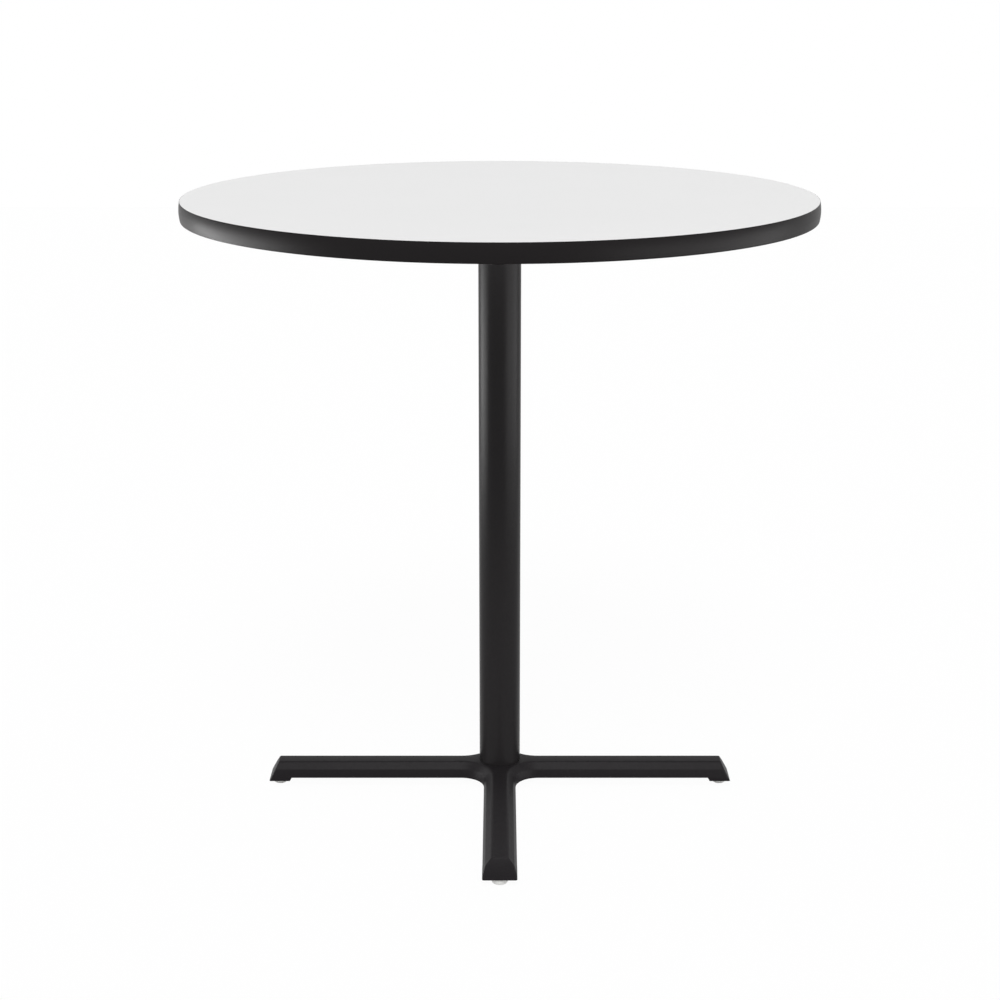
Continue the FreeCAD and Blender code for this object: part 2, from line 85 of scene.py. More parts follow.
# Depth as a share of the pitch, rings in a pitch, steepness of the flanks, and flat on the crest
THREAD_DEPTH_SHARE = 0.54
THREAD_STEPS = 8
THREAD_STEEPNESS = 1.6
THREAD_CREST = 0.3

# Average of a noise texture
NOISE_MIDDLE = 0.5

# Studio
WHITE = (1, 1, 1, 1)
FLOOR_GREY = (0.88, 0.88, 0.88, 1)
FLOOR_PALE = (0.9, 0.9, 0.9, 1)
FLOOR_SPECKLE = 4 * MM
KEY_PLACE = (0, -3, 5)
SENSOR_WIDTH = 36.0


class Wire:
    """An output socket of a finish. Arithmetic on it adds Math nodes to the finish."""

    def __init__(self, finish, socket):
        self.finish = finish
        self.socket = socket

    def _math(self, operation, first, second):
        return self.finish.add("ShaderNodeMath", {"operation": operation}, {0: first, 1: second})

    def __add__(self, other):
        return self._math("ADD", self, other)

    def __radd__(self, other):
        return self._math("ADD", other, self)

    def __sub__(self, other):
        return self._math("SUBTRACT", self, other)

    def __rsub__(self, other):
        return self._math("SUBTRACT", other, self)

    def __mul__(self, other):
        return self._math("MULTIPLY", self, other)

    def __rmul__(self, other):
        return self._math("MULTIPLY", other, self)


class Finish:
    """A material, or a world, and its node tree."""

    def __init__(self, owner):
        self.owner = owner
        owner.use_nodes = True
        self.tree = owner.node_tree
        self.tree.nodes.clear()

    def add(self, kind, settings=None, sockets=None, output=0):
        """Adds a node of a type, applies its settings, fills its sockets and returns one output."""
        node = self.tree.nodes.new(kind)
        for name, value in (settings or {}).items():
            if name == "stops":
                set_ramp(node.color_ramp, value)
            else:
                setattr(node, name, value)
        for name, value in (sockets or {}).items():
            if isinstance(value, Wire):
                self.tree.links.new(value.socket, node.inputs[name])
            else:
                node.inputs[name].default_value = value
        return Wire(self, node.outputs[output]) if node.outputs else node

    def place(self, scale=(1, 1, 1)):
        """Object coordinates in metres, stretched by a scale."""
        coordinates = self.add("ShaderNodeTexCoord", output="Object")
        if tuple(scale) == (1, 1, 1):
            return coordinates
        return self.add("ShaderNodeVectorMath", {"operation": "MULTIPLY"}, {0: coordinates, 1: scale})

    def noise(self, feature_size, detail=2.0, roughness=0.5, stretch=(1, 1, 1)):
        """Smooth noise from 0 to 1 whose features are about feature_size metres across."""
        sockets = {"Vector": self.place(stretch), "Scale": 1 / feature_size, "Detail": detail,
                   "Roughness": roughness}
        return self.add("ShaderNodeTexNoise", None, sockets)

    def ramp(self, factor, stops):
        return self.add("ShaderNodeValToRGB", {"stops": stops}, {"Fac": factor})

    def mix(self, factor, first, second):
        """A colour between two colours."""
        # Numbers, because a Mix node has an A, a B and a Result for each kind of data
        sockets = {0: factor, 6: first, 7: second}
        return self.add("ShaderNodeMix", {"data_type": "RGBA"}, sockets, output=2)

    def tones(self, factor, colour, low, high):
        """A colour that goes from a darker to a lighter tone of itself."""
        return self.mix(factor, shade(colour, low), shade(colour, high))

    def bump(self, height):
        """A surface raised by a height in metres."""
        return self.add("ShaderNodeBump", None, {"Height": height, "Strength": 1.0, "Distance": 1.0})

    def surface(self, **sockets):
        """Ends a material in a Principled shader. A name such as base_color means the socket Base Color."""
        named = {}
        for name, value in sockets.items():
            words = name.split("_")
            named[" ".join(w.upper() if w == "ior" else w.capitalize() for w in words)] = value
        shader = self.add("ShaderNodeBsdfPrincipled", None, named)
        self.add("ShaderNodeOutputMaterial", None, {"Surface": shader})
        return self.owner


def set_ramp(ramp, stops):
    """Gives a colour ramp its (position, colour) stops."""
    while len(ramp.elements) > len(stops):
        ramp.elements.remove(ramp.elements[-1])
    while len(ramp.elements) < len(stops):
        ramp.elements.new(1.0)
    for element, (position, colour) in zip(ramp.elements, stops):
        element.position = position
        element.color = colour


def new_finish(name):
    return Finish(bpy.data.materials.new(name))


def shade(colour, share):
    """A colour made lighter or darker by a share, with full alpha."""
    return (colour[0] * share, colour[1] * share, colour[2] * share, 1.0)


# Finishes


def laminate_finish(settings):
    """White high-pressure laminate: a fine pebbled satin face."""
    pebble_size = 1.4 * MM
    pebble_height = 0.03 * MM
    pebble_share = 0.7
    cloud_size = 180 * MM
    roughness_range = 0.08
    finish = new_finish("white_laminate")
    pebbles = finish.noise(pebble_size, detail=3.0)
    clouds = finish.noise(cloud_size, detail=2.0)
    mottle = pebbles * pebble_share + clouds * (1 - pebble_share)
    return finish.surface(
        base_color=finish.tones(mottle, settings.laminate_colour, low=0.97, high=1.03),
        roughness=settings.laminate_roughness + roughness_range * (pebbles - NOISE_MIDDLE),
        specular_ior_level=0.3,
        normal=finish.bump(pebbles * pebble_height),
    )


def moulding_finish(settings):
    """Black extruded edge strip: satin, with faint lines along its length."""
    grain_size = 0.9 * MM
    grain_height = 0.01 * MM
    line_size = 1.1 * MM
    line_height = 0.012 * MM
    level_lines = (0.01, 0.01, 1.0)
    roughness_range = 0.1
    finish = new_finish("edge_pvc")
    grain = finish.noise(grain_size, detail=2.0)
    lines = finish.noise(line_size, detail=1.0, stretch=level_lines)
    return finish.surface(
        base_color=finish.tones(grain, settings.moulding_colour, low=0.85, high=1.15),
        roughness=settings.moulding_roughness + roughness_range * (lines - NOISE_MIDDLE),
        specular_ior_level=settings.moulding_specular,
        normal=finish.bump(lines * line_height + grain * grain_height),
    )


def particleboard_finish():
    """Pressed wood chips of mixed tan colours."""
    chip_size = 3.2 * MM
    chip_height = 0.06 * MM
    flat_chips = (1, 1, 2.5)
    dark_chip = (0.30, 0.19, 0.10, 1)
    tan_chip = (0.52, 0.37, 0.22, 1)
    pale_chip = (0.68, 0.54, 0.36, 1)
    least_roughness = 0.8
    roughness_range = 0.1
    finish = new_finish("particleboard")
    sockets = {"Vector": finish.place(flat_chips), "Scale": 1 / chip_size}
    chips = finish.add("ShaderNodeTexVoronoi", None, sockets, output="Color")
    share = finish.add("ShaderNodeSeparateColor", None, {"Color": chips})
    return finish.surface(
        base_color=finish.ramp(share, [(0.0, dark_chip), (0.5, tan_chip), (1.0, pale_chip)]),
        roughness=least_roughness + roughness_range * share,
        normal=finish.bump(share * chip_height),
    )


def backer_finish(settings):
    """Dark phenolic paper sheet: matt, with faint paper fibres."""
    fibre_size = 6 * MM
    fibre_height = 0.05 * MM
    long_fibres = (1.0, 0.25, 1.0)
    blotch_size = 90 * MM
    blotch_share = 0.35
    blotch_tone = 1.6
    least_roughness = 0.7
    roughness_range = 0.16
    finish = new_finish("backer")
    fibres = finish.noise(fibre_size, detail=5.0, roughness=0.65, stretch=long_fibres)
    blotches = finish.noise(blotch_size, detail=3.0)
    paper = finish.tones(fibres, settings.backer_colour, low=0.7, high=1.3)
    blotch = shade(settings.backer_colour, blotch_tone)
    return finish.surface(
        base_color=finish.mix(blotches * blotch_share, paper, blotch),
        roughness=least_roughness + roughness_range * fibres,
        specular_ior_level=0.06,
        normal=finish.bump(fibres * fibre_height),
    )


def powder_coat_finish(name, colour, roughness, specular, peel_size, peel_height, lump_height):
    """Black powder coat: satin, with orange peel, over a smooth tube or a slightly uneven casting."""
    lump_size = 14 * MM
    cloud_size = 60 * MM
    cloud_range = 0.06
    peel_range = 0.05
    finish = new_finish(name)
    peel = finish.noise(peel_size, detail=2.0, roughness=0.45)
    lumps = finish.noise(lump_size, detail=2.0)
    clouds = finish.noise(cloud_size, detail=3.0)
    cloudy = roughness + cloud_range * (clouds - NOISE_MIDDLE)
    return finish.surface(
        base_color=finish.tones(peel, colour, low=0.7, high=1.3),
        roughness=cloudy + peel_range * (peel - NOISE_MIDDLE),
        specular_ior_level=specular,
        normal=finish.bump(peel * peel_height + lumps * lump_height),
    )


def zinc_finish():
    """Bright zinc plating: bluish grey metal with a faint yellow bloom and fine draw marks."""
    bloom_size = 5 * MM
    mark_size = 0.4 * MM
    mark_height = 0.004 * MM
    level_marks = (1.0, 1.0, 6.0)
    bluish = (0.58, 0.60, 0.63, 1)
    yellowish = (0.68, 0.67, 0.62, 1)
    least_roughness = 0.26
    roughness_range = 0.16
    finish = new_finish("zinc_steel")
    bloom = finish.noise(bloom_size, detail=3.0)
    marks = finish.noise(mark_size, detail=2.0, stretch=level_marks)
    return finish.surface(
        base_color=finish.mix(bloom, bluish, yellowish),
        metallic=1.0,
        roughness=least_roughness + roughness_range * marks,
        normal=finish.bump(marks * mark_height),
    )


def nylon_finish(settings):
    """White moulded nylon: waxy satin with a faint mottle."""
    mottle_size = 2.5 * MM
    mottle_height = 0.02 * MM
    least_roughness = 0.38
    roughness_range = 0.12
    finish = new_finish("white_nylon")
    mottle = finish.noise(mottle_size, detail=3.0)
    return finish.surface(
        base_color=finish.tones(mottle, settings.nylon_colour, low=0.96, high=1.03),
        roughness=least_roughness + roughness_range * mottle,
        specular_ior_level=0.4,
        normal=finish.bump(mottle * mottle_height),
    )


# Meshes


def finished_piece(name, mesh_data, body, finish, nodes):
    """Puts a finished bmesh into the scene as a piece that stands for CAD nodes on a body."""
    mesh = bpy.data.meshes.new(name)
    bmesh.ops.recalc_face_normals(mesh_data, faces=mesh_data.faces)
    mesh_data.to_mesh(mesh)
    mesh_data.free()
    if "custom_normal" in mesh.attributes:
        mesh.attributes.remove(mesh.attributes["custom_normal"])
    mesh.shade_smooth()
    mesh.set_sharp_from_angle(angle=SHARP_ANGLE)
    mesh.materials.clear()
    mesh.materials.append(finish)
    piece = bpy.data.objects.new(name, mesh)
    bpy.context.scene.collection.objects.link(piece)
    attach(piece, body)
    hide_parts(*nodes)


def rounded(corners, radii, steps=ROUND_STEPS):
    """A closed outline of (radius, height) points with its corners rounded by their own radii."""
    outline = []
    for index, (corner, radius) in enumerate(zip(corners, radii)):
        here = Vector(corner)
        if radius == 0:
            outline.append(tuple(here))
            continue
        to_last = (Vector(corners[index - 1]) - here).normalized()
        to_next = (Vector(corners[(index + 1) % len(corners)]) - here).normalized()
        half_angle = to_last.angle(to_next) / 2
        centre = here + (to_last + to_next).normalized() * (radius / math.sin(half_angle))
        start = here + to_last * (radius / math.tan(half_angle)) - centre
        end = here + to_next * (radius / math.tan(half_angle)) - centre
        for step in range(steps + 1):
            outline.append(tuple(centre + start.slerp(end, step / steps) * radius))
    return outline


def on_circle(centre, radius, angle, height):
    """A point round an upright axis."""
    return (centre[0] + radius * math.cos(angle), centre[1] + radius * math.sin(angle), height)


def turned_rings(bm, outline, segments, centre=(0, 0), start=0.0, sweep=FULL_TURN):
    """Turns a closed (radius, height) outline about an upright axis. A part turn gets end caps."""
    whole = sweep > FULL_TURN - TINY
    columns = segments if whole else segments + 1
    rings = []
    for radius, height in outline:
        if radius < TINY:
            rings.append([bm.verts.new((centre[0], centre[1], height))] * columns)
            continue
        ring = []
        for column in range(columns):
            angle = start + sweep * column / segments
            ring.append(bm.verts.new(on_circle(centre, radius, angle, height)))
        rings.append(ring)
    for index, ring in enumerate(rings):
        other = rings[(index + 1) % len(rings)]
        for column in range(segments):
            following = (column + 1) % columns
            corners = [ring[column], ring[following], other[following], other[column]]
            face = list(dict.fromkeys(corners))
            if len(face) > 2:
                bm.faces.new(face)
    if not whole:
        cap(bm, [ring[0] for ring in rings])
        cap(bm, [ring[-1] for ring in rings])


def round_ring(bm, radius, height, centre):
    """A level ring of points about an upright axis."""
    ring = []
    for column in range(SMALL_SEGMENTS):
        angle = FULL_TURN * column / SMALL_SEGMENTS
        ring.append(bm.verts.new(on_circle(centre, radius, angle, height)))
    return ring


def join(bm, ring, other):
    """Makes the faces between two whole rings of as many points."""
    for column in range(len(ring)):
        following = (column + 1) % len(ring)
        bm.faces.new([ring[column], ring[following], other[following], other[column]])


def cap(bm, ring):
    """Closes a ring with one flat face."""
    bm.faces.new(ring)


def threaded_rings(bm, radius, pitch, bottom, top, chamfer, centre=(0, 0)):
    """A right-hand threaded shaft: rings whose radius follows a helix, with chamfered ends."""
    depth = pitch * THREAD_DEPTH_SHARE
    count = max(1, round((top - bottom) / pitch * THREAD_STEPS))
    rings = []
    for index in range(count + 1):
        height = bottom + (top - bottom) * index / count
        limit = radius - max(0.0, chamfer - min(height - bottom, top - height))
        ring = []
        for column in range(SMALL_SEGMENTS):
            turn = column / SMALL_SEGMENTS
            phase = (height / pitch - turn) % 1.0
            slope = THREAD_STEEPNESS * (1 - abs(2 * phase - 1)) - THREAD_CREST
            groove = max(0.0, min(1.0, slope))
            reach = min(limit, radius - depth * groove)
            ring.append(bm.verts.new(on_circle(centre, reach, FULL_TURN * turn, height)))
        rings.append(ring)
    for ring, other in zip(rings, rings[1:]):
        join(bm, ring, other)
    return rings


def sharp_edges(bm):
    """The edges whose faces meet at a clear angle."""
    return [edge for edge in bm.edges if edge.is_manifold and edge.calc_face_angle() > SHARP_ANGLE]


def away(edge, point):
    """The direction of an edge, seen from one of its ends."""
    return (edge.other_vert(point).co - point.co).normalized()


def crease_ahead(point, sharp):
    """The long gentle crease that goes straight on where a sharp edge bends away, or None."""
    for crease in point.link_edges:
        if crease in sharp or crease.calc_length() < CREASE_LENGTH:
            continue
        if crease.calc_face_angle() < CREASE_ANGLE:
            continue
        for edge in point.link_edges:
            if edge in sharp and away(edge, point).angle(away(crease, point)) > math.pi - STRAIGHT_ANGLE:
                return crease
    return None


def shift_creases(bm):
    """Starts each crease that goes straight on from a sharp edge a few points further along that edge.

    Where the two run on in one line, the facets of the rounding would fold over.
    """
    sharp = set(sharp_edges(bm))
    for point in list(bm.verts):
        crease = crease_ahead(point, sharp)
        if crease is None:
            continue
        ahead = away(crease, point)
        end = crease.other_vert(point)
        start = point
        for _ in range(CREASE_SHIFT):
            edge = next(e for e in start.link_edges if e in sharp and away(e, start).dot(ahead) > 0)
            start = edge.other_vert(start)
        bmesh.ops.connect_vert_pair(bm, verts=[start, end])
        bmesh.ops.dissolve_edges(bm, edges=[crease], use_verts=False)


def softened_copy(node, width):
    """A CAD node's mesh with its facets welded, flat areas merged and sharp edges rounded."""
    bm = bmesh.new()
    bm.from_mesh(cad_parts[node].data)
    bmesh.ops.remove_doubles(bm, verts=bm.verts, dist=WELD_DISTANCE)
    bmesh.ops.dissolve_limit(bm, angle_limit=FLAT_ANGLE, verts=bm.verts, edges=bm.edges)
    shift_creases(bm)
    bmesh.ops.bevel(bm, geom=sharp_edges(bm), offset=width, offset_type="OFFSET", segments=EDGE_STEPS,
                    profile=0.5, affect="EDGES", clamp_overlap=False)
    bmesh.ops.dissolve_degenerate(bm, edges=bm.edges, dist=WELD_DISTANCE)
    return bm


def dress_node(node, finish):
    """Gives a CAD node that stays in view its finish."""
    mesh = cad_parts[node].data
    mesh.materials.clear()
    mesh.materials.append(finish)


def box_radius(node):
    """Radius of a round CAD node, from its box."""
    low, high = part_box(node)
    return max(high.x - low.x, high.y - low.y) / 2


def glide_centre(side):
    """Middle of a glide, seen from above."""
    low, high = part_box("glide_foot_" + side)
    return ((low.x + high.x) / 2, (low.y + high.y) / 2)


class TopSettings(bpy.types.PropertyGroup):
    """Sizes and colours of the round top."""

    laminate_colour: FloatVectorProperty(
        name="Laminate Colour", description="Colour of the top sheet", subtype="COLOR", size=3,
        min=0, max=1, default=(0.80, 0.80, 0.80))
    laminate_roughness: FloatProperty(
        name="Laminate Roughness", description="Gloss of the top sheet, 0 is a mirror", subtype="FACTOR",
        min=0, max=1, default=0.5)
    laminate_edge: FloatProperty(
        name="Laminate Edge", description="Rounding of the top sheet's upper edge", subtype="DISTANCE",
        unit="LENGTH", default=0.25 * MM)
    moulding_colour: FloatVectorProperty(
        name="Moulding Colour", description="Colour of the rim strip", subtype="COLOR", size=3,
        min=0, max=1, default=(0.0142, 0.0128, 0.0133))
    moulding_roughness: FloatProperty(
        name="Moulding Roughness", description="Gloss of the rim strip, 0 is a mirror", subtype="FACTOR",
        min=0, max=1, default=0.38)
    moulding_specular: FloatProperty(
        name="Moulding Specular", description="Strength of the rim strip's reflections",
        subtype="FACTOR", min=0, max=1, default=0.04)
    moulding_lip: FloatProperty(
        name="Moulding Lip", description="Thickness of the rim strip at its upper and lower edge",
        subtype="DISTANCE", unit="LENGTH", default=0.45 * MM)
    moulding_tongue: FloatProperty(
        name="Tongue Length", description="How far the rim strip's tongue reaches into the core",
        subtype="DISTANCE", unit="LENGTH", default=11 * MM)
    seam_gap: FloatProperty(
        name="Seam Gap", description="Gap where the two ends of the rim strip meet", subtype="DISTANCE",
        unit="LENGTH", default=0.4 * MM)
    backer_colour: FloatVectorProperty(
        name="Backer Colour", description="Colour of the sheet under the top", subtype="COLOR", size=3,
        min=0, max=1, default=(0.030, 0.024, 0.020))


class FrameSettings(bpy.types.PropertyGroup):
    """Sizes and colours of the column, base, spider and hardware."""

    tube_colour: FloatVectorProperty(
        name="Tube Colour", description="Colour of the powder coat on the column", subtype="COLOR",
        size=3, min=0, max=1, default=(0.0204, 0.0188, 0.0197))
    cast_colour: FloatVectorProperty(
        name="Cast Colour", description="Colour of the powder coat on the castings", subtype="COLOR",
        size=3, min=0, max=1, default=(0.0133, 0.0119, 0.0131))
    tube_roughness: FloatProperty(
        name="Tube Roughness", description="Gloss of the coat on the column, 0 is a mirror",
        subtype="FACTOR", min=0, max=1, default=0.33)
    cast_roughness: FloatProperty(
        name="Cast Roughness", description="Gloss of the coat on the castings, 0 is a mirror",
        subtype="FACTOR", min=0, max=1, default=0.45)
    tube_specular: FloatProperty(
        name="Tube Specular", description="Strength of the column's reflections", subtype="FACTOR",
        min=0, max=1, default=0.06)
    cast_specular: FloatProperty(
        name="Cast Specular", description="Strength of the castings' reflections", subtype="FACTOR",
        min=0, max=1, default=0.055)
    tube_edge: FloatProperty(
        name="Tube Edge", description="Rounding of the column's ends", subtype="DISTANCE", unit="LENGTH",
        default=0.8 * MM)
    tube_wall: FloatProperty(
        name="Tube Wall", description="Wall of the column's tube", subtype="DISTANCE", unit="LENGTH",
        default=3 * MM)
    cast_edge: FloatProperty(
        name="Cast Edge", description="Rounding of the castings' sharp edges", subtype="DISTANCE",
        unit="LENGTH", default=0.5 * MM)
    thread_length: FloatProperty(
        name="Thread Length", description="Threaded length at each end of the tie rod",
        subtype="DISTANCE", unit="LENGTH", default=45 * MM)
    washer_edge: FloatProperty(
        name="Washer Edge", description="Rounding of the washers' edges", subtype="DISTANCE",
        unit="LENGTH", default=0.2 * MM)


class GlideSettings(bpy.types.PropertyGroup):
    """Sizes and colours of the levelling glides."""

    nylon_colour: FloatVectorProperty(
        name="Nylon Colour", description="Colour of the glides' feet", subtype="COLOR", size=3,
        min=0, max=1, default=(0.80, 0.80, 0.78))
    rest_radius: FloatProperty(
        name="Rest Radius", description="Radius of the flat that stands on the floor",
        subtype="DISTANCE", unit="LENGTH", default=6.5 * MM)
    corner_height: FloatProperty(
        name="Corner Height", description="Height of the rounded corner above the floor",
        subtype="DISTANCE", unit="LENGTH", default=9.5 * MM)
    corner_steps: IntProperty(
        name="Corner Steps", description="Rings in the rounded corner", min=4, max=40, default=18)
    stud_radius: FloatProperty(
        name="Stud Radius", description="Outer radius of the stud's thread", subtype="DISTANCE",
        unit="LENGTH", default=3.97 * MM)
    flange_height: FloatProperty(
        name="Flange Height", description="Thickness of the stud's flange inside the foot",
        subtype="DISTANCE", unit="LENGTH", default=2.5 * MM)
    play: FloatProperty(
        name="Play", description="Clearance of the stud in the foot", subtype="DISTANCE", unit="LENGTH",
        default=0.05 * MM)


class StageSettings(bpy.types.PropertyGroup):
    """Floor, lights and camera of the studio."""

    camera_distance: FloatProperty(
        name="Camera Distance", description="How far the camera stands in front of the column",
        subtype="DISTANCE", unit="LENGTH", default=3.28323)
    camera_height: FloatProperty(
        name="Camera Height", description="Height of the camera above the floor", subtype="DISTANCE",
        unit="LENGTH", default=1.47635)
    camera_pitch: FloatProperty(
        name="Camera Pitch", description="How far the camera looks down", subtype="ANGLE",
        unit="ROTATION", default=0.27924)
    camera_lens: FloatProperty(
        name="Camera Lens", description="Focal length in millimetres", unit="CAMERA", default=70.151)
    camera_shift: FloatProperty(
        name="Camera Shift", description="Sideways shift, as a share of the picture's width",
        subtype="FACTOR", min=-1, max=1, default=0.00025)
    floor_size: FloatProperty(
        name="Floor Size", description="Side of the floor", subtype="DISTANCE", unit="LENGTH",
        default=16.0)
    floor_glow: FloatProperty(
        name="Floor Glow", description="How clear the floor is to the camera and how white in reflections",
        subtype="FACTOR", min=0, max=1, default=0.97)
    fill_light: FloatProperty(
        name="Fill Light", description="Level of the soft light from all round", subtype="FACTOR",
        min=0, max=1, default=0.49)
    left_power: FloatProperty(
        name="Left Power", description="Power of the left soft box in watts", unit="POWER", default=53.0)
    right_power: FloatProperty(
        name="Right Power", description="Power of the right soft box in watts", unit="POWER",
        default=46.0)
    card_power: FloatProperty(
        name="Card Power", description="Power of the card under the top in watts", unit="POWER",
        default=9.0)
    key_strength: FloatProperty(
        name="Key Strength", description="Strength of the far light in front, in watts per square metre",
        default=1.9)
    key_height: FloatProperty(
        name="Key Height", description="Angle of the far light above the horizon", subtype="ANGLE",
        unit="ROTATION", default=0.93)
    key_width: FloatProperty(
        name="Key Width", description="How wide the far light is, as an angle", subtype="ANGLE",
        unit="ROTATION", default=0.40)


class TABLE_OT_laminate(bpy.types.Operator):
    """Make the white laminate sheet on the top"""

    bl_idname = "bar_table.laminate"
    bl_label = "Laminate Sheet"

    def execute(self, context):
        top = context.scene.bar_table_top
        low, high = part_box("top_laminate")
        radius = box_radius("top_laminate")
        outline = [(0, low.z)]
        outline += rounded([(radius, low.z), (radius, high.z), (radius / 2, high.z)],
                           [0, top.laminate_edge, 0])
        outline.append((0, high.z))
        bm = bmesh.new()
        turned_rings(bm, outline, RIM_SEGMENTS)
        finished_piece("laminate_sheet", bm, TABLE_BODY, laminate_finish(top),
                       ["top_laminate"])
        return {"FINISHED"}


class TABLE_OT_moulding(bpy.types.Operator):
    """Make the black strip round the rim, with its barbed tongue and its butt seam at the rear"""

    bl_idname = "bar_table.moulding"
    bl_label = "Edge Moulding"

    crown_steps: IntProperty(
        name="Crown Steps", description="Rings across the convex face", min=2, default=14)
    lip_round: FloatProperty(
        name="Lip Round", description="Rounding of the lips", subtype="DISTANCE", unit="LENGTH",
        default=0.3 * MM)
    barb_half_height: FloatProperty(
        name="Barb", description="Half thickness over the barbs", subtype="DISTANCE", unit="LENGTH",
        default=1.1 * MM)
    tongue_half_height: FloatProperty(
        name="Tongue", description="Half thickness of the tongue", subtype="DISTANCE", unit="LENGTH",
        default=0.8 * MM)
    barb_count: IntProperty(
        name="Barbs", description="Barbs on each side of the tongue", min=0, default=3)

    def outline(self, top):
        """The strip's outline: convex face, back against the panel, and the tongue on the back."""
        low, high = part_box("edge_moulding")
        crown = box_radius("edge_moulding")
        back = box_radius("top_laminate")
        middle = (low.z + high.z) / 2
        half = (high.z - low.z) / 2
        bulge = crown - back - top.moulding_lip
        face = []
        for step in range(self.crown_steps + 1):
            share = 2 * step / self.crown_steps - 1
            face.append((crown - bulge * share * share, middle + half * share))
        radii = [0] * len(face)
        radii[0] = radii[-1] = self.lip_round
        tip = back - top.moulding_tongue
        upper = [(tip, self.tongue_half_height / 2)]
        for barb in range(self.barb_count):
            place = tip + top.moulding_tongue * (barb + 1) / (self.barb_count + 1)
            upper += [(place, self.barb_half_height), (place, self.tongue_half_height)]
        upper.append((back, self.tongue_half_height))
        corners = face + [(back, high.z)]
        corners += [(radius, middle + height) for radius, height in reversed(upper)]
        corners += [(radius, middle - height) for radius, height in upper]
        corners.append((back, low.z))
        radii += [0] * (len(corners) - len(radii))
        return rounded(corners, radii, steps=LIP_STEPS)

    def execute(self, context):
        top = context.scene.bar_table_top
        gap_angle = top.seam_gap / box_radius("edge_moulding")
        bm = bmesh.new()
        turned_rings(bm, self.outline(top), RIM_SEGMENTS, start=FULL_TURN / 4 + gap_angle / 2,
                     sweep=FULL_TURN - gap_angle)
        finished_piece("edge_strip", bm, TABLE_BODY, moulding_finish(top), ["edge_moulding"])
        return {"FINISHED"}


class TABLE_OT_panel(bpy.types.Operator):
    """Finish the particleboard core and the backer sheet under it"""

    bl_idname = "bar_table.panel"
    bl_label = "Core and Backer"

    def execute(self, context):
        dress_node("top_core", particleboard_finish())
        dress_node("backer_sheet", backer_finish(context.scene.bar_table_top))
        return {"FINISHED"}


class TABLE_OT_castings(bpy.types.Operator):
    """Make the cast base and the cast spider with softened edges"""

    bl_idname = "bar_table.castings"
    bl_label = "Base and Spider"

    def execute(self, context):
        settings = context.scene.bar_table_frame
        finish = powder_coat_finish(
            "black_casting", settings.cast_colour, settings.cast_roughness, settings.cast_specular,
            peel_size=1.6 * MM, peel_height=0.16 * MM, lump_height=0.35 * MM)
        for name, node in (("cross_base", "base_casting"), ("spider", "top_spider")):
            bm = softened_copy(node, settings.cast_edge)
            finished_piece(name, bm, TABLE_BODY, finish, [node])
        return {"FINISHED"}


class TABLE_OT_column(bpy.types.Operator):
    """Make the round column tube"""

    bl_idname = "bar_table.column"
    bl_label = "Column"

    def execute(self, context):
        settings = context.scene.bar_table_frame
        low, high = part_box("column_tube")
        radius = box_radius("column_tube")
        bore = radius - settings.tube_wall
        edge = settings.tube_edge
        outline = rounded([(bore, low.z), (radius, low.z), (radius, high.z), (bore, high.z)],
                          [0, edge / 2, edge, edge / 2])
        bm = bmesh.new()
        turned_rings(bm, outline, TUBE_SEGMENTS)
        finish = powder_coat_finish(
            "black_tube", settings.tube_colour, settings.tube_roughness, settings.tube_specular,
            peel_size=1.3 * MM, peel_height=0.10 * MM, lump_height=0.0)
        finished_piece("column", bm, TABLE_BODY, finish, ["column_tube"])
        return {"FINISHED"}


class TABLE_OT_hardware(bpy.types.Operator):
    """Make the threaded tie rod and the washers, and finish the nuts and wood screws"""

    bl_idname = "bar_table.hardware"
    bl_label = "Tie Rod and Hardware"

    chamfer: FloatProperty(
        name="Chamfer", description="Chamfer of the rod's ends", subtype="DISTANCE", unit="LENGTH",
        default=1.0 * MM)

    def execute(self, context):
        settings = context.scene.bar_table_frame
        finish = zinc_finish()
        low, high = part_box("tie_rod")
        radius = box_radius("tie_rod")
        lower_end = low.z + settings.thread_length
        upper_end = high.z - settings.thread_length
        bm = bmesh.new()
        lower = threaded_rings(bm, radius, ROD_PITCH, low.z, lower_end, self.chamfer)
        upper = threaded_rings(bm, radius, ROD_PITCH, upper_end, high.z, self.chamfer)
        join(bm, lower[-1], upper[0])
        cap(bm, lower[0])
        cap(bm, upper[-1])
        finished_piece("threaded_rod", bm, TABLE_BODY, finish, ["tie_rod"])
        for node in ("upper_washer", "lower_washer"):
            bm = softened_copy(node, settings.washer_edge)
            finished_piece(node + "_plated", bm, TABLE_BODY, finish, [node])
        for node in ("upper_nut", "lower_nut", "spider_screws"):
            dress_node(node, finish)
        return {"FINISHED"}


